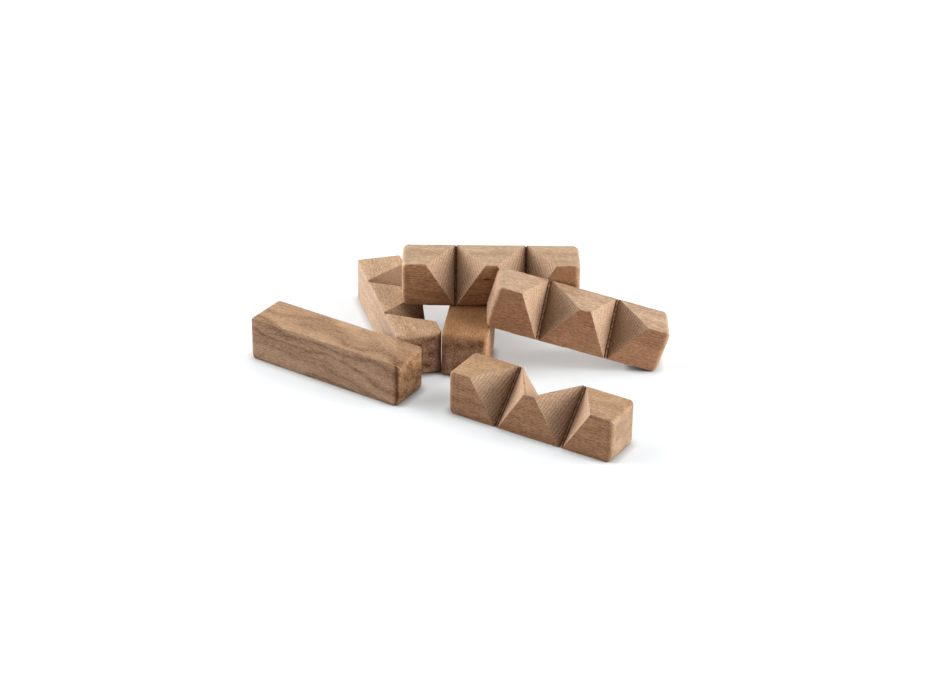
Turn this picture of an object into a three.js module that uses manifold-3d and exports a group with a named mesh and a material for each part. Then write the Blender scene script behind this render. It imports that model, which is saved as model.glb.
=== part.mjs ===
// A six-piece diagonal burr puzzle, taken apart. Six square sticks of one size
// carry V notches cut corner to corner: one solid key, three sticks with two
// notches, and two sticks with two notches and a third, wider one in the middle.
// Four sticks lie flat on the table. One rests across two of them, and one
// leans with its foot on the table. Millimetres, +Z up.
import * as THREE from 'three';
import { mergeVertices } from 'three/addons/utils/BufferGeometryUtils.js';
import Module from 'manifold-3d';

const wasm = await Module();
wasm.setup();

// The stick
const STICK = 20;             // side of the square section
const LENGTH = 78;            // length of every stick
const END_ROUND = 2.0;        // rounding around both ends
const END_ROUND_STEPS = 4;
const EDGE_CHAMFER = 0.4;     // softened long edges

// The notches, measured along the stick at the edge that they are cut from
const NOTCH_PITCH = 31;       // between the middles of the two side notches
const SIDE_MOUTH = 26.2;      // width of a side notch at the edge
const CENTRE_MOUTH = 29.2;    // width of the middle notch at the edge
const NOTCH_FLOOR = 1.4;      // flat strip along the bottom of a notch

// The pile
const GAP = 0.3;              // left between sticks that touch
const LEAN_SPAN = 72.3;       // along the leaning stick, from its foot to the edge it leans on

// Where each stick lies: its centre on the table plane, and the direction of its length
const LAYOUT = {
  middle: { x: -0.2, y: 14.2, yaw: 83.35 },
  left: { x: -34.3, y: 14.0, yaw: 105.75 },
  key: { x: -60.0, y: -21.7, yaw: -32.4 },
  front: { x: 27.5, y: -65.7, yaw: -30.7 },
  top: { x: 6.5, y: 13.4, yaw: 0.45 },
  leaning: { x: 44.5, y: -7.4, yaw: -0.1 },
};

const HALF_DIAGONAL = STICK * Math.SQRT1_2;  // centre of the section to an edge
const FLOOR_HEIGHT = STICK / 2;              // centre of a stick that lies on the table
const RAISED_HEIGHT = 1.5 * STICK + GAP;     // centre of a stick that lies on two others

const degrees = THREE.MathUtils.degToRad;

// three.js geometry to manifold solid and back

function toSolid(geometry) {
  const bare = geometry.clone();
  bare.deleteAttribute('normal');
  bare.deleteAttribute('uv');
  const merged = mergeVertices(bare);
  return new wasm.Manifold(new wasm.Mesh({
    numProp: 3,
    vertProperties: new Float32Array(merged.attributes.position.array),
    triVerts: new Uint32Array(merged.index.array),
  }));
}

function toGeometry(solid) {
  const mesh = solid.getMesh();
  const geometry = new THREE.BufferGeometry();
  geometry.setAttribute('position', new THREE.BufferAttribute(mesh.vertProperties, 3));
  geometry.setIndex(new THREE.BufferAttribute(mesh.triVerts, 1));
  geometry.computeVertexNormals();
  return geometry;
}

function outline(points) {
  return new THREE.Shape(points.map(([x, y]) => new THREE.Vector2(x, y)));
}

// A square stick along X, centred on the origin. Its ends are rounded by the
// extrusion's bevel, and its long edges are cut back by a chamfered prism.
function squareStick() {
  const half = STICK / 2;
  const square = outline([[-half, -half], [half, -half], [half, half], [-half, half]]);
  const body = new THREE.ExtrudeGeometry(square, {
    depth: LENGTH - 2 * END_ROUND,
    bevelSize: END_ROUND,
    bevelThickness: END_ROUND,
    bevelOffset: -END_ROUND,
    bevelSegments: END_ROUND_STEPS,
  });
  body.translate(0, 0, END_ROUND - LENGTH / 2);
  body.rotateY(Math.PI / 2);

  const flat = half - EDGE_CHAMFER;
  const chamfered = outline([
    [-flat, -half], [flat, -half], [half, -flat], [half, flat],
    [flat, half], [-flat, half], [-half, flat], [-half, -flat],
  ]);
  const prism = new THREE.ExtrudeGeometry(chamfered, { depth: 2 * LENGTH, bevelEnabled: false });
  prism.translate(0, 0, -LENGTH);
  prism.rotateY(Math.PI / 2);
  return toSolid(body).intersect(toSolid(prism));
}

// The wedge that cuts one notch at a place along the stick. The edge's angle is
// counted around the stick from +Y, so 45 is the edge between +Y and +Z. The
// bottom of the notch lies in the section's other diagonal plane.
function notchWedge(along, mouth, edgeAngle) {
  const reach = 2;  // how far past the edge the wedge starts, as a multiple of the depth
  const halfFloor = NOTCH_FLOOR / 2;
  const halfOuter = halfFloor + reach * (mouth / 2 - halfFloor);
  const section = outline([
    [-halfFloor, 0], [halfFloor, 0],
    [halfOuter, reach * HALF_DIAGONAL], [-halfOuter, reach * HALF_DIAGONAL],
  ]);
  const wedge = new THREE.ExtrudeGeometry(section, { depth: 2 * STICK, bevelEnabled: false });
  wedge.translate(0, 0, -STICK);
  wedge.rotateX(degrees(edgeAngle));
  wedge.translate(along, 0, 0);
  return toSolid(wedge);
}

function withSideNotches(stick) {
  return [-1, 1].reduce(
    (solid, side) => solid.subtract(notchWedge(side * NOTCH_PITCH / 2, SIDE_MOUTH, 135)),
    stick,
  );
}

function withCentreNotch(stick) {
  return stick.subtract(notchWedge(0, CENTRE_MOUTH, 45));
}

const keyStick = squareStick();
const twoNotchStick = withSideNotches(squareStick());
const threeNotchStick = withCentreNotch(twoNotchStick);

// A named stick, turned about its own length, pitched nose down, then turned on
// the table and set at its height
function placeStick(name, solid, colour, spot, { height = FLOOR_HEIGHT, roll = 0, pitch = 0 } = {}) {
  const material = new THREE.MeshStandardMaterial({ color: colour, roughness: 0.55, metalness: 0 });
  const mesh = new THREE.Mesh(toGeometry(solid), material);
  mesh.name = name;
  mesh.rotation.set(roll, pitch, degrees(spot.yaw), 'ZYX');
  mesh.position.set(spot.x, spot.y, height);
  return mesh;
}

// The leaning stick stands on the rounded lower corner of its right end. Its
// underside climbs from there to the top of the middle stick.
const leanPitch = Math.asin((STICK + GAP) / LEAN_SPAN);
const leanHeight = END_ROUND
  + (LENGTH / 2 - END_ROUND) * Math.sin(leanPitch)
  + (STICK / 2 - END_ROUND) * Math.cos(leanPitch);

const pile = new THREE.Group();
pile.add(
  placeStick('middle_three_notch_stick', threeNotchStick, '#b08a5e', LAYOUT.middle, { roll: Math.PI }),
  placeStick('left_two_notch_stick', twoNotchStick, '#b39066', LAYOUT.left),
  placeStick('key_stick', keyStick, '#a9835a', LAYOUT.key),
  placeStick('front_three_notch_stick', threeNotchStick, '#a98358', LAYOUT.front),
  placeStick('top_two_notch_stick', twoNotchStick, '#ad875c', LAYOUT.top, { height: RAISED_HEIGHT }),
  placeStick('leaning_two_notch_stick', twoNotchStick, '#b18c62', LAYOUT.leaning, {
    height: leanHeight,
    pitch: leanPitch,
  }),
);

// The origin is the middle of the pile's footprint, on the table
const bounds = new THREE.Box3().setFromObject(pile, true);
const middle = bounds.getCenter(new THREE.Vector3());
pile.position.set(-middle.x, -middle.y, -bounds.min.z);

export default pile;
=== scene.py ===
"""Six sticks of a diagonal burr puzzle, taken apart and lying on a white table."""
import math

import bmesh
import bpy
import numpy as np
from mathutils import Euler, Matrix, Vector, noise


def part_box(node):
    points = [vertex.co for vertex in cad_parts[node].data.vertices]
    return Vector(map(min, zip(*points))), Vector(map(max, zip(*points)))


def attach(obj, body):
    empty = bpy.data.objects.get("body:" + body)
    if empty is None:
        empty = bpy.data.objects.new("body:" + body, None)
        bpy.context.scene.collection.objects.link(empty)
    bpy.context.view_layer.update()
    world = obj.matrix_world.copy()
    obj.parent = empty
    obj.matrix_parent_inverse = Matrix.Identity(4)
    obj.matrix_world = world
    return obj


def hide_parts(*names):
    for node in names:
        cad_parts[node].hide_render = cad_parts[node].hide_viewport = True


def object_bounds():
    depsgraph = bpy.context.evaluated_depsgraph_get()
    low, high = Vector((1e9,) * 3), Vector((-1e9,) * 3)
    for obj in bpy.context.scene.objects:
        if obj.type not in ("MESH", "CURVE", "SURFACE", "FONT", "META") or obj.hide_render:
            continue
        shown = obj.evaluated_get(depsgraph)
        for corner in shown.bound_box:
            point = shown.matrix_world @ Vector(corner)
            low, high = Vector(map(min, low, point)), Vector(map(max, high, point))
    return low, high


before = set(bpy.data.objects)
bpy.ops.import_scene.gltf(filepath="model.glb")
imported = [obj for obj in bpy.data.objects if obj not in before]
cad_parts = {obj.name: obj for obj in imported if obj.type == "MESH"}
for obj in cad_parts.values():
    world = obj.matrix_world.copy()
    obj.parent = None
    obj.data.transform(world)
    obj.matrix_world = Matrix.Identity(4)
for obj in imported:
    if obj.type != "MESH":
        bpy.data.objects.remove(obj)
cad_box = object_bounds()

MM = 0.001

# Sizes are in millimetres and angles in degrees, unless a comment says otherwise

# The stick
STICK = 20.0
LENGTH = 78.0
END_ROUND = 2.5       # rounding around both ends, where handling has worn them most
CORNER_ROUND = 2.2    # rounding of an end face's own four corners
EDGE_ROUND = 0.55     # rounding of the long edges
ARRIS_ROUND = 0.22    # rounding of the edges that the notches cut
CUT_FADE = 1.5        # depth of cut over which one rounding turns into the other

# The notches, measured along the stick at the edge that they are cut from
NOTCH_PITCH = 31.0
SIDE_MOUTH = 26.2
CENTRE_MOUTH = 29.2
NOTCH_FLOOR = 1.4
NARROW_FLOOR = 0.9   # the top stick's notches close up tighter
KERF_WIDTH = 0.3     # the saw runs a little past the corner on both sides of a notch's floor
KERF_DEPTH = 0.25
DEEP_KERF = 1.0      # the left stick's notches, where it ran on

# Wear: how deep each kind goes, how many of it there are to a millimetre, and how much of
# an arris it spares
HOLLOW_DEPTH, HOLLOWS = 0.03, 0.12
SAWN_DEPTH, SAW_MARKS = 0.05, 1.3
RUB_DEPTH, RUBS, RUB_SPARES = 0.08, 0.35, 0.12
CHIP_DEPTH, CHIPS, CHIP_SPARES = 0.4, 1.1, 0.38
ARRIS_REACH = 0.6     # how far wear shows from an arris
PAINTED_SHADE_REACH = 1.6    # how far the painted shade of a kerf reaches up a notch's wall, and how strongly
PAINTED_WALL_SHADE = 0.38

# From one stick's pattern to the next one's, far enough that no two are alike
WEAR_STEP = (19.7, 7.3, 3.1)
BOARD_STEP = (131.0, 57.0, 23.0)
CHIP_SHIFT = Vector((40, 0, 0))  # keeps chips and rubbed places apart

WELD = 0.002          # points closer than this become one
BUMP = 0.12           # height of the grain
END_FACING = 0.8      # a surface this square to the end starts to show end grain
RIM_NARROWING = 6     # how tightly the rim mark keeps to its edge

HALF = STICK / 2
HALF_DIAGONAL = STICK * math.sqrt(0.5)

# Mesh density
STATION_STEP = 0.5    # between cross-sections along a stick
SIDE_STEPS = 36       # across one full side
CUT_STEPS = 48        # across one notch wall
ARC_STEPS = 3         # round an edge
FILLET_SHARE = 0.48   # most of a short side that a rounding may take
END_STEPS = 6         # round an end
CAP_RINGS = 14        # rings that close an end face
SHARP = 0.004         # on each side of a line where the shape turns

# The leaning stick rests on the middle one
GAP = 0.3             # left between sticks that touch
LEAN_SPAN = 72.3      # along the leaning stick, from its foot to the edge it leans on
LEAN = math.degrees(math.asin((STICK + GAP) / LEAN_SPAN))


def stick(seed, node, body, slot, yaw, **special):
    """One stick: how it lies on the table, and what is special about it. Side and centre
    say which notches it has, and chipped how deep the chips in its arrises are. Roll turns
    it about its own length and pitch is nose down. The ring values say how its growth
    rings tilt, climb and bow."""
    plain = dict(side=True, centre=False, floor=NOTCH_FLOOR, kerf=KERF_DEPTH, chipped=1.0,
                 roll=0, pitch=0, ring_tilt=0, ring_slope=0, ring_bow=0)
    return dict(plain, seed=seed, node=node, body=body, slot=slot, yaw=yaw, **special)


STICKS = {
    "middle": stick(1, "middle_three_notch_stick", "middle_stick", "middle_wood", 83.35,
                    centre=True, roll=180, ring_tilt=8),
    "left": stick(2, "left_two_notch_stick", "left_stick", "left_wood", 105.75,
                  kerf=DEEP_KERF, chipped=3.0, ring_tilt=35),
    "key": stick(3, "key_stick", "key", "key_wood", -32.4,
                 side=False, ring_tilt=20, ring_slope=0.07, ring_bow=0.0012),
    "front": stick(4, "front_three_notch_stick", "front_stick", "front_wood", -30.7,
                   centre=True, ring_tilt=-33, ring_slope=0.02),
    "top": stick(5, "top_two_notch_stick", "top_stick", "top_wood", 0.45,
                 floor=NARROW_FLOOR, ring_tilt=-30),
    "leaning": stick(6, "leaning_two_notch_stick", "leaning_stick", "leaning_wood", -0.1,
                     pitch=LEAN, ring_tilt=-70, ring_slope=0.03),
}


# The cross-section. Its six possible sides, counted round from the bottom: bottom,
# back, centre notch, top, side notch and front. Each is a direction and a distance.

CUT_SIDES = ("side", "centre")
SIDE_NAMES = ("bottom", "back", "centre", "top", "side", "front")
SIDE_ANGLES = dict(bottom=-90, back=0, centre=45, top=90, side=135, front=180)
SIDE_NORMALS = {
    name: np.array([math.cos(math.radians(a)), math.sin(math.radians(a))])
    for name, a in SIDE_ANGLES.items()
}


def meet(a, b, distance):
    """The point where two sides of the section cross."""
    normals = np.array([SIDE_NORMALS[a], SIDE_NORMALS[b]])
    return np.linalg.solve(normals, [distance[a], distance[b]])


def present_sides(distance):
    """The sides that still have a length, once the deeper cuts have taken their share."""
    sides = list(SIDE_NAMES)
    changed = True
    while changed and len(sides) > 3:
        changed = False
        for i, name in enumerate(sides):
            before, after = sides[i - 1], sides[(i + 1) % len(sides)]
            turn = (SIDE_ANGLES[after] - SIDE_ANGLES[before]) % 360
            if turn >= 180:
                continue
            corner = meet(before, after, distance)
            if SIDE_NORMALS[name] @ corner <= distance[name] + 1e-9:
                sides.remove(name)
                changed = True
                break
    return sides


def section_ring(distance, radius, steps):
    """Points round one section, always the same number of them, each with its distance
    to the nearest corner and whether it lies on a notch's wall. A side that the cuts
    have taken away keeps its points, all at the corner where it vanished."""
    sides = present_sides(distance)
    count = len(sides)
    corners = [meet(sides[i], sides[(i + 1) % count], distance) for i in range(count)]
    lengths = [np.linalg.norm(corners[i] - corners[i - 1]) for i in range(count)]
    fillets = []
    for i in range(count):
        turn = math.radians((SIDE_ANGLES[sides[(i + 1) % count]] - SIDE_ANGLES[sides[i]]) % 360)
        room = FILLET_SHARE * min(lengths[i], lengths[(i + 1) % count])
        fillets.append((turn, min(radius * math.tan(turn / 2), room)))
    ring = []
    for i, name in enumerate(sides):
        along = (corners[i] - corners[i - 1]) / lengths[i]
        first = corners[i - 1] + along * fillets[i - 1][1]
        last = corners[i] - along * fillets[i][1]
        sawn = 1.0 if name in CUT_SIDES else 0.0
        for k in range(steps[name] + 1):
            point = first + (last - first) * k / steps[name]
            reach = min(np.linalg.norm(point - first), np.linalg.norm(point - last))
            ring.append((point, reach, sawn))
        turn, tangent = fillets[i]
        r = tangent / math.tan(turn / 2)
        centre = last - SIDE_NORMALS[name] * r
        slot = SIDE_NAMES.index(name)
        slots = (SIDE_NAMES.index(sides[(i + 1) % count]) - slot) % len(SIDE_NAMES)
        for s in range(slots):
            for k in range(1, ARC_STEPS + 1):
                angle = math.radians(SIDE_ANGLES[name]) + turn * (s + k / ARC_STEPS) / slots
                point = centre + r * np.array([math.cos(angle), math.sin(angle)])
                if k < ARC_STEPS:
                    ring.append((point, 0.0, 0.0))
                elif s < slots - 1:
                    vanished = SIDE_NAMES[(slot + s + 1) % len(SIDE_NAMES)]
                    ring += [(point, 0.0, 0.0)] * (steps[vanished] + 1)
    return ring


def notch_depth(x, middle, mouth, floor, kerf):
    """Distance from the section's centre to the wall of a notch, at a place along the
    stick. In a kerf it is below zero, because the kerf goes past the centre."""
    half_floor = floor / 2
    away = abs(x - middle)
    if away < half_floor:
        return -kerf if away > half_floor - KERF_WIDTH else 0.0
    return (away - half_floor) / (mouth / 2 - half_floor) * HALF_DIAGONAL


def stations(spec):
    """Places along the stick where a section is made: evenly spaced, round the ends,
    and on both sides of every line where the shape turns."""
    half = LENGTH / 2
    places = set(np.linspace(-half + END_ROUND, half - END_ROUND, round(LENGTH / STATION_STEP)))
    lines = []
    if spec["side"]:
        lines += [(-NOTCH_PITCH / 2, SIDE_MOUTH), (NOTCH_PITCH / 2, SIDE_MOUTH)]
    if spec["centre"]:
        lines += [(0, CENTRE_MOUTH)]
    for middle, mouth in lines:
        for side in (-1, 1):
            for edge in (spec["floor"] / 2, spec["floor"] / 2 - KERF_WIDTH):
                places.add(middle + side * (edge - SHARP))
                places.add(middle + side * (edge + SHARP))
            places.add(middle + side * mouth / 2)
    for k in range(END_STEPS + 1):
        turn = math.pi / 2 * k / END_STEPS
        x = half - END_ROUND + END_ROUND * math.sin(turn)
        places.update((x, -x))
    ordered = sorted(places)
    kept = [ordered[0]]
    for x in ordered[1:]:
        if x - kept[-1] > SHARP / 2:
            kept.append(x)
    return kept


def stick_sections(spec):
    """The rings of points along the stick, and for each point how near it is to an arris,
    whether it is on a sawn wall and how much painted shade it gets near a notch's floor."""
    steps = dict(bottom=SIDE_STEPS, back=SIDE_STEPS, top=SIDE_STEPS, front=SIDE_STEPS,
                 side=CUT_STEPS if spec["side"] else 1, centre=CUT_STEPS if spec["centre"] else 1)
    floor, kerf = spec["floor"], spec["kerf"]
    rings, marks = [], []
    for x in stations(spec):
        past = max(0.0, abs(x) - (LENGTH / 2 - END_ROUND))
        inset = END_ROUND - math.sqrt(max(0.0, END_ROUND ** 2 - past ** 2))
        half = HALF - inset
        whole = half * math.sqrt(2) - EDGE_ROUND * math.tan(math.radians(45 / 2))
        side = centre = whole
        if spec["side"]:
            side = min(whole, *(notch_depth(x, m, SIDE_MOUTH, floor, kerf)
                                for m in (-NOTCH_PITCH / 2, NOTCH_PITCH / 2)))
        if spec["centre"]:
            centre = min(whole, notch_depth(x, 0, CENTRE_MOUTH, floor, kerf))
        distance = dict(bottom=half, back=half, top=half, front=half, side=side, centre=centre)
        cut = min(1.0, max(whole - side, whole - centre) / CUT_FADE)
        radius = EDGE_ROUND + (ARRIS_ROUND - EDGE_ROUND) * cut
        radius += (CORNER_ROUND - EDGE_ROUND) * (past / END_ROUND) ** 2
        ring = section_ring(distance, radius, steps)
        end_reach = LENGTH / 2 - abs(x)
        depth = min(side, centre) if spec["side"] else whole
        # Painted shade: full in a kerf, and fading up a notch's wall away from its floor
        painted_kerf_shade = 1.0 if depth < 0 else PAINTED_WALL_SHADE * math.exp(-depth / PAINTED_SHADE_REACH)
        rings.append([(x, y, z) for (y, z), _, _ in ring])
        marks.append([
            (math.exp(-min(reach, end_reach) / ARRIS_REACH), sawn, painted_kerf_shade * sawn)
            for _, reach, sawn in ring
        ])
    return rings, marks


MARKS = ("arris", "sawn", "painted_kerf_shade", "end_grain", "cheek", "rim")


def stick_mesh(name, spec, place):
    """The stick's surface in the frame's place, with what its material reads kept on the
    points: the place in the board, how near the point is to an arris, how much painted
    shade it gets near the floor of a notch, whether a saw cut it, and whether it is on an
    end, on a front or back face (where painted light and shade go), or on the rounded
    upright edge between the two."""
    rings, marks = stick_sections(spec)
    bm = bmesh.new()
    layers = {key: bm.verts.layers.float.new(key) for key in MARKS}
    grain = bm.verts.layers.float_vector.new("grain")

    def vertex(point, arris, sawn, painted_kerf_shade):
        vert = bm.verts.new(point)
        vert[layers["arris"]] = arris
        vert[layers["sawn"]] = sawn
        vert[layers["painted_kerf_shade"]] = painted_kerf_shade
        return vert

    rows = [[vertex(p, *m) for p, m in zip(ring, mark)] for ring, mark in zip(rings, marks)]
    count = len(rows[0])
    for row, after in zip(rows, rows[1:]):
        for k in range(count):
            m = (k + 1) % count
            bm.faces.new((row[k], after[k], after[m], row[m]))
    for row in (rows[0], rows[-1]):
        cap_end(bm, row, vertex)
    bmesh.ops.remove_doubles(bm, verts=bm.verts, dist=WELD)
    bmesh.ops.dissolve_degenerate(bm, edges=bm.edges, dist=WELD / 2)
    bmesh.ops.recalc_face_normals(bm, faces=bm.faces)
    bm.normal_update()
    wear(bm, layers, spec["seed"], spec["chipped"])
    for face in bm.faces:
        face.smooth = True
    for vert in bm.verts:
        vert[grain] = place_in_board(vert.co, spec)
        end, cheek = abs(vert.normal.x), abs(vert.normal.y)
        vert[layers["end_grain"]] = max(0.0, end - END_FACING) / (1 - END_FACING)
        # Marks the front and back faces, which take a painted light and shade colour
        vert[layers["cheek"]] = cheek ** 2
        vert[layers["rim"]] = (2 * end * cheek) ** RIM_NARROWING
        vert.co = place @ (vert.co * MM)
    mesh = bpy.data.meshes.new(name)
    bm.to_mesh(mesh)
    bm.free()
    return mesh


def place_in_board(point, spec):
    """Where a point of the stick sat in the board that it was sawn from: x along the
    fibres, z across the growth layers, which may rise and bend along the stick."""
    tilt = math.radians(spec["ring_tilt"])
    across = Vector((0, point.y * math.cos(tilt) - point.z * math.sin(tilt),
                     point.y * math.sin(tilt) + point.z * math.cos(tilt)))
    bend = spec["ring_slope"] * point.x + spec["ring_bow"] * (point.x ** 2 - across.y ** 2)
    corner = Vector(spec["seed"] * step for step in BOARD_STEP)
    return corner + Vector((point.x, across.y, across.z + bend))


def wear(bm, layers, seed, chipped):
    """Pushes points in along their normals: faces a hair uneven, arrises rubbed and
    chipped here and there. Never outwards, so the stick stays within its size."""
    shift = Vector(seed * step for step in WEAR_STEP)
    moves = []
    for vert in bm.verts:
        place = vert.co + shift
        uneven = HOLLOW_DEPTH * (0.5 + 0.5 * noise.noise(place * HOLLOWS))
        rough = SAWN_DEPTH * vert[layers["sawn"]] * (0.5 + 0.5 * noise.noise(place * SAW_MARKS))
        rub = max(0.0, noise.noise(place * RUBS) - RUB_SPARES) * RUB_DEPTH
        chip = max(0.0, noise.noise(place * CHIPS + CHIP_SHIFT) - CHIP_SPARES) * CHIP_DEPTH * chipped
        moves.append(uneven + rough + (rub + chip) * vert[layers["arris"]] ** 2)
    for vert, move in zip(bm.verts, moves):
        vert.co -= vert.normal * move


def cap_end(bm, row, vertex):
    """Closes an end with rings that shrink to its middle."""
    x = row[0].co.x
    outer = row
    count = len(row)
    half = max(v.co.y for v in row)
    for ring in range(1, CAP_RINGS):
        scale = 1 - ring / CAP_RINGS
        arris = math.exp(-half * (1 - scale) / ARRIS_REACH)
        inner = [vertex((x, v.co.y * scale, v.co.z * scale), arris, 0, 0) for v in row]
        for k in range(count):
            m = (k + 1) % count
            bm.faces.new((outer[k], outer[m], inner[m], inner[k]))
        outer = inner
    middle = vertex((x, 0, 0), 0, 0, 0)
    for k in range(count):
        bm.faces.new((outer[k], outer[(k + 1) % count], middle))


def node_centre(node):
    """The middle of a CAD node's box, which is the middle of the stick."""
    low, high = (Vector(corner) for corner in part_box(node))
    return (low + high) / 2


def build_stick(name, spec):
    """A stick in place of its CAD node, riding on the same body."""
    turn = Euler([math.radians(spec[k]) for k in ("roll", "pitch", "yaw")], "XYZ")
    place = Matrix.Translation(node_centre(spec["node"])) @ turn.to_matrix().to_4x4()
    piece = bpy.data.objects.new(f"{name}_stick", stick_mesh(f"{name}_stick", spec, place))
    bpy.context.scene.collection.objects.link(piece)
    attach(piece, spec["body"])
    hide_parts(spec["node"])
    return piece


# Materials

class Nodes:
    """Shorthand for making a material out of nodes."""

    def __init__(self, name):
        self.material = bpy.data.materials.new(name)
        self.material.use_nodes = True
        self.tree = self.material.node_tree
        self.shader = self.tree.nodes["Principled BSDF"]

    def set(self, socket, value):
        """Links the socket if the value is another socket, or gives it the value."""
        if isinstance(value, bpy.types.NodeSocket):
            self.tree.links.new(value, socket)
        else:
            socket.default_value = value

    def add(self, kind, inputs, output=0, **settings):
        """A new node with these inputs and settings. Gives back one of its outputs."""
        node = self.tree.nodes.new(kind)
        for key, value in settings.items():
            setattr(node, key, value)
        for key, value in inputs.items():
            self.set(node.inputs[key], value)
        return node.outputs[output]

    def attribute(self, name, output="Fac"):
        return self.add("ShaderNodeAttribute", {}, output, attribute_name=name)

    def math(self, operation, a, b=0.0, c=0.0, clamp=False):
        return self.add("ShaderNodeMath", {0: a, 1: b, 2: c}, operation=operation, use_clamp=clamp)

    def sum(self, *terms):
        """Adds up pairs of a value and its weight."""
        total = 0.0
        for value, weight in terms:
            total = self.math("MULTIPLY_ADD", value, weight, total)
        return total

    def noise(self, place, sizes, detail=2.0, roughness=0.5):
        """Noise about zero, whose features have these sizes in millimetres along x, y and z."""
        scale = tuple(1 / size for size in sizes)
        stretched = self.add("ShaderNodeVectorMath", {0: place, 1: scale}, operation="MULTIPLY")
        value = self.add("ShaderNodeTexNoise", {
            "Vector": stretched, "Scale": 1.0, "Detail": detail, "Roughness": roughness})
        return self.math("SUBTRACT", value, 0.5)

    def step(self, value, low, high):
        """0 below low, 1 above high, and smooth between."""
        return self.add("ShaderNodeMapRange", {
            "Value": value, "From Min": low, "From Max": high}, interpolation_type="SMOOTHSTEP")

    def mix(self, factor, a, b):
        """The colour a fading to b as the factor goes from 0 to 1."""
        node = self.tree.nodes.new("ShaderNodeMix")
        node.data_type = "RGBA"
        self.set(node.inputs["Factor"], factor)
        self.set(node.inputs["A"], (*a, 1) if isinstance(a, tuple) else a)
        self.set(node.inputs["B"], (*b, 1) if isinstance(b, tuple) else b)
        return node.outputs[2]


# The wood

RING_WIDTH = 5.5      # between two dark growth rings
WANDER = 7.9          # how far a ring may stray, from one side to the other
LAYER_WIDTH = 1.05    # between the fine layers that show on a sawn wall
SAWN_DARK = (0.17, 0.078, 0.035)
SAWN_LIGHT = (0.73, 0.56, 0.42)


def growth(n, board, wavy):
    """Dark late wood of the growth rings, softer bands between good and lean years, and
    the fine layers. The rings and bands wander along the board, the more so if wavy."""
    wander = n.noise(board, (60 / wavy, 16, 12), detail=1)
    shift = n.add("ShaderNodeCombineXYZ", {"Z": n.math("MULTIPLY", wander, WANDER * wavy)})
    bent = n.add("ShaderNodeVectorMath", {0: board, 1: shift}, operation="ADD")
    turn = n.math("MULTIPLY", n.add("ShaderNodeSeparateXYZ", {0: bent}, "Z"), 2 * math.pi / RING_WIDTH)
    late = n.math("POWER", n.math("MULTIPLY_ADD", n.math("SINE", turn), 0.5, 0.5), 3)
    bands = n.noise(bent, (80, 16, 5), detail=1)
    across = n.add("ShaderNodeSeparateXYZ", {0: board}, "Z")
    ripple = n.noise(board, (22, 6, 4), detail=1)
    turn = n.math("MULTIPLY_ADD", across, 2 * math.pi / LAYER_WIDTH, n.math("MULTIPLY", ripple, 7.0))
    layers = n.math("MULTIPLY", n.math("SINE", turn), n.math("MULTIPLY_ADD", ripple, 0.8, 0.3))
    return late, bands, layers


def pin_knot(n, board, middle):
    """How much darker a small knot is than the wood around it. It is drawn out along the
    fibres, and zero away from the knot."""
    away = n.add("ShaderNodeVectorMath", {0: board, 1: tuple(middle)}, operation="SUBTRACT")
    scaled = n.add("ShaderNodeVectorMath", {0: away, 1: (1 / 2.2, 1 / 1.5, 1 / 0.6)}, operation="MULTIPLY")
    reach = n.add("ShaderNodeVectorMath", {0: scaled}, "Value", operation="LENGTH")
    return n.math("MULTIPLY", n.step(reach, 1.2, 0.2), 0.5)


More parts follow.
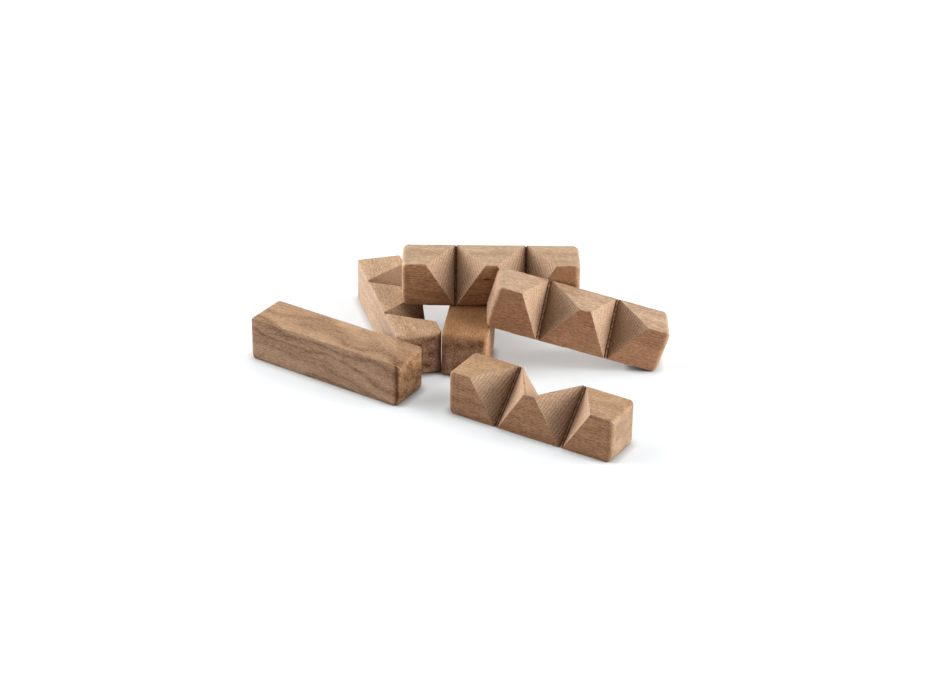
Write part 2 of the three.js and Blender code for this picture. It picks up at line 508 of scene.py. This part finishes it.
def beech(name, dark, light, cheeks, ends, ringed=1.0, wavy=1.0, mottled=1.0, end=0.0, rim=0.0,
          knot=None):
    """Sanded beech, oiled and handled, with raw sawn walls in its notches. Its tone runs
    from dark to light. The light colour differs between tops, the front and back faces,
    and ends; the colour of the front and back faces is painted light and shade, matched to
    how those faces are lit. Ringed, wavy and mottled say how much of each the wood shows,
    end and rim shift the tone there, and knot is the place of a small knot in the board.
    The kerfs and the notch walls near them get painted shade."""
    n = Nodes(name)
    board = n.attribute("grain", "Vector")
    sawn = n.attribute("sawn")
    arris = n.attribute("arris")
    painted_kerf_shade = n.attribute("painted_kerf_shade")
    end_grain = n.attribute("end_grain")
    rim_mark = n.attribute("rim")

    # The figure of the wood, from broad to fine
    late, bands, layers = growth(n, board, wavy)
    fibres = n.noise(board, (6, 0.42, 0.42), detail=2, roughness=0.6)
    specks = n.noise(board, (1.5, 0.33, 0.33), detail=1)
    mottle = n.noise(board, (7, 4, 4), detail=3)
    flecks = n.step(n.noise(board, (2.4, 0.3, 1.2), detail=1), 0.12, 0.22)
    raw = n.math("MULTIPLY_ADD", end_grain, 0.3, sawn, clamp=True)
    layer_show = n.math("ADD", raw, 0.08)

    # Tone. A sawn wall shows little of the broad figure, and an end shows its pores.
    broad = n.sum((late, -0.16 * ringed), (bands, 0.5 * ringed), (mottle, 0.25), (flecks, -0.09))
    fine = n.sum((fibres, 0.6), (specks, 0.85), (n.math("MULTIPLY", layers, layer_show), 0.25))
    pores = n.noise(board, (4, 0.9, 0.9), detail=4, roughness=0.7)
    # The kerf term is painted shade on the kerfs and on the notch walls near them
    tone = n.sum(
        (n.math("MULTIPLY", broad, n.math("MULTIPLY_ADD", sawn, -0.85, 1.0)), 1.0), (fine, 1.0),
        (n.math("MULTIPLY", n.sum((mottle, 0.8), (pores, 1.3)), end_grain), mottled),
        (end_grain, end), (rim_mark, rim), (painted_kerf_shade, -0.45), (arris, 0.02),
    )
    if knot:
        tone = n.math("SUBTRACT", tone, pin_knot(n, board, knot))
    tone = n.math("ADD", tone, 0.52, clamp=True)
    # Front and back faces take a colour of their own, which is painted light and shade
    full = n.mix(end_grain, n.mix(n.attribute("cheek"), light, cheeks), ends)
    sanded_colour = n.mix(tone, dark, full)
    sawn_colour = n.mix(tone, SAWN_DARK, SAWN_LIGHT)
    n.set(n.shader.inputs["Base Color"], n.mix(sawn, sanded_colour, sawn_colour))

    # Sheen and relief
    rough = n.sum((fibres, 0.25), (mottle, 0.2), (sawn, 0.25), (end_grain, 0.1), (arris, -0.08))
    n.set(n.shader.inputs["Roughness"], n.math("ADD", rough, 0.52, clamp=True))
    n.shader.inputs["Specular IOR Level"].default_value = 0.25

    height = n.sum((fibres, 1.0), (specks, 0.6), (n.math("MULTIPLY", layers, layer_show), 0.15))
    bump = n.add("ShaderNodeBump", {"Strength": 1.0, "Distance": BUMP * MM, "Height": height})
    n.set(n.shader.inputs["Normal"], bump)
    return n.material


# The table, the lights and the camera

TABLE_SIZE = 4.0      # metres from its middle to an edge
# Strength of the table's painted glow
PAINTED_TABLE_GLOW = 0.255
CONTACT_REACH = 3.5   # over which the painted glow fades towards a stick, painting a contact shadow


def painted_glow_table():
    """A white table whose own glow is painted light that lifts the shade round the pile.
    The glow fades out where something lies close by, which paints a contact shadow there.
    """
    n = Nodes("painted_glow_table")
    shader = n.shader
    shader.inputs["Base Color"].default_value = (0.545, 0.56, 0.565, 1)
    shader.inputs["Emission Color"].default_value = (0.97, 1.0, 1.03, 1)
    shader.inputs["Roughness"].default_value = 0.9
    shader.inputs["Specular IOR Level"].default_value = 0.1
    # Painted light: the table glows, and the glow fades near a stick as a painted contact shadow
    open_sky = n.add("ShaderNodeAmbientOcclusion", {"Distance": CONTACT_REACH * MM}, "AO")
    glow = n.math("MULTIPLY", n.math("POWER", open_sky, 2.0), PAINTED_TABLE_GLOW)
    n.set(shader.inputs["Emission Strength"], glow)
    return n.material


def build_floor():
    """The table top, level with the bottom of the CAD model's box."""
    bm = bmesh.new()
    bmesh.ops.create_grid(bm, x_segments=2, y_segments=2, size=TABLE_SIZE)
    mesh = bpy.data.meshes.new("table")
    bm.to_mesh(mesh)
    bm.free()
    floor = bpy.data.objects.new("table", mesh)
    bpy.context.scene.collection.objects.link(floor)
    floor.location.z = cad_box[0][2]
    mesh.materials.append(painted_glow_table())


def area_light(name, place, aim, size, watts):
    """A soft white rectangle of light that faces a point."""
    data = bpy.data.lights.new(name, "AREA")
    data.shape = "RECTANGLE"
    data.size, data.size_y = size
    data.energy = watts
    light = bpy.data.objects.new(name, data)
    bpy.context.scene.collection.objects.link(light)
    light.location = place
    light.rotation_euler = (Vector(aim) - Vector(place)).to_track_quat("-Z", "Y").to_euler()


def build_dark_world():
    """Only the lights and the table's painted glow light the pile."""
    world = bpy.data.worlds.new("studio")
    bpy.context.scene.world = world
    world.use_nodes = True
    world.node_tree.nodes["Background"].inputs["Strength"].default_value = 0.0


VIEW_TARGET = Vector((6.62, 19.79, 0)) * MM   # the point on the table in the middle of the picture
VIEW_DISTANCE = 1.0549    # metres
VIEW_ELEVATION = 29.03    # above the table
VIEW_ROLL = 0.784
SENSOR_WIDTH = 36
LENS = SENSOR_WIDTH * 2.5142  # focal length, as a multiple of the sensor's width


def build_camera():
    """A camera in front of the pile, looking down at it as the photograph does."""
    data = bpy.data.cameras.new("camera")
    data.lens = LENS
    data.sensor_width = SENSOR_WIDTH
    data.clip_end = 20
    camera = bpy.data.objects.new("camera", data)
    bpy.context.scene.collection.objects.link(camera)
    rise = math.radians(VIEW_ELEVATION)
    camera.location = VIEW_TARGET + VIEW_DISTANCE * Vector((0, -math.cos(rise), math.sin(rise)))
    look = Matrix.Rotation(math.pi / 2 - rise, 3, "X") @ Matrix.Rotation(math.radians(VIEW_ROLL), 3, "Z")
    camera.rotation_euler = look.to_euler()
    bpy.context.scene.camera = camera


def build_lights():
    """Low and high softboxes on both sides, two behind the pile, and weak fill from above
    and in front. Places and sizes are in metres."""
    aim = (0, 0, 0.02)
    low, high, wide = (0.6, 0.5), (0.7, 0.7), (1.2, 0.6)
    area_light("left_low", (-1.05, 0.05, 0.30), aim, low, 4.85)
    area_light("left_low_back", (-0.95, 0.5, 0.30), aim, low, 5.8)
    area_light("left_high", (-0.8, 0, 0.8), aim, high, 3.9)
    area_light("right_low_front", (0.95, -0.45, 0.30), aim, low, 4.85)
    area_light("right_low", (1.05, 0.05, 0.30), aim, low, 4.2)
    area_light("right_high", (0.8, 0, 0.8), aim, high, 4.4)
    area_light("overhead", (0, 0, 1.2), aim, (1.0, 1.0), 0.75)
    area_light("back_low", (0, 1.1, 0.5), aim, wide, 3.75)
    area_light("back_high", (0, 0.8, 0.9), aim, wide, 1.3)
    area_light("front_fill", (0, -1.1, 0.35), aim, (1.0, 0.5), 0.8)


# Each stick's wood. A knot's place is measured from the middle of the stick. The colours of the front and
# back faces are painted light and shade.
WOODS = {
    "middle": dict(dark=(0.17, 0.070, 0.024), light=(0.60, 0.39, 0.23), cheeks=(0.73, 0.47, 0.28),
                   ends=(0.59, 0.42, 0.30), ringed=0.7, end=-0.08),
    "left": dict(dark=(0.16, 0.066, 0.024), light=(0.76, 0.57, 0.39), cheeks=(0.65, 0.51, 0.39),
                 ends=(0.61, 0.44, 0.32), ringed=0.3, end=-0.20),
    "key": dict(dark=(0.15, 0.070, 0.032), light=(0.60, 0.42, 0.27), cheeks=(0.54, 0.39, 0.28),
                ends=(0.55, 0.37, 0.22), ringed=1.15, wavy=1.8, mottled=1.3, end=-0.03, rim=-0.6),
    "front": dict(dark=(0.14, 0.058, 0.022), light=(0.67, 0.48, 0.31), cheeks=(0.57, 0.37, 0.24),
                  ends=(0.51, 0.39, 0.28), ringed=0.5, mottled=0.4, end=0.1),
    "top": dict(dark=(0.18, 0.072, 0.024), light=(0.66, 0.52, 0.37), cheeks=(0.71, 0.47, 0.30),
                ends=(0.66, 0.53, 0.40), ringed=0.5, mottled=0.8, end=0.05, knot=(-1.7, -10, 3)),
    "leaning": dict(dark=(0.16, 0.065, 0.024), light=(0.71, 0.55, 0.40), cheeks=(0.63, 0.40, 0.26),
                    ends=(0.60, 0.45, 0.34), ringed=0.4, mottled=0.6, end=0.1),
}

build_camera()
build_floor()
build_dark_world()
build_lights()
for name, spec in STICKS.items():
    piece = build_stick(name, spec)
    wood = dict(WOODS[name])
    if "knot" in wood:
        wood["knot"] = place_in_board(Vector(wood["knot"]), spec)
    piece.data.materials.append(beech(f"{name}_beech", **wood))

bpy.context.scene.view_settings.view_transform = "Standard"
bpy.context.scene.view_settings.look = "High Contrast"
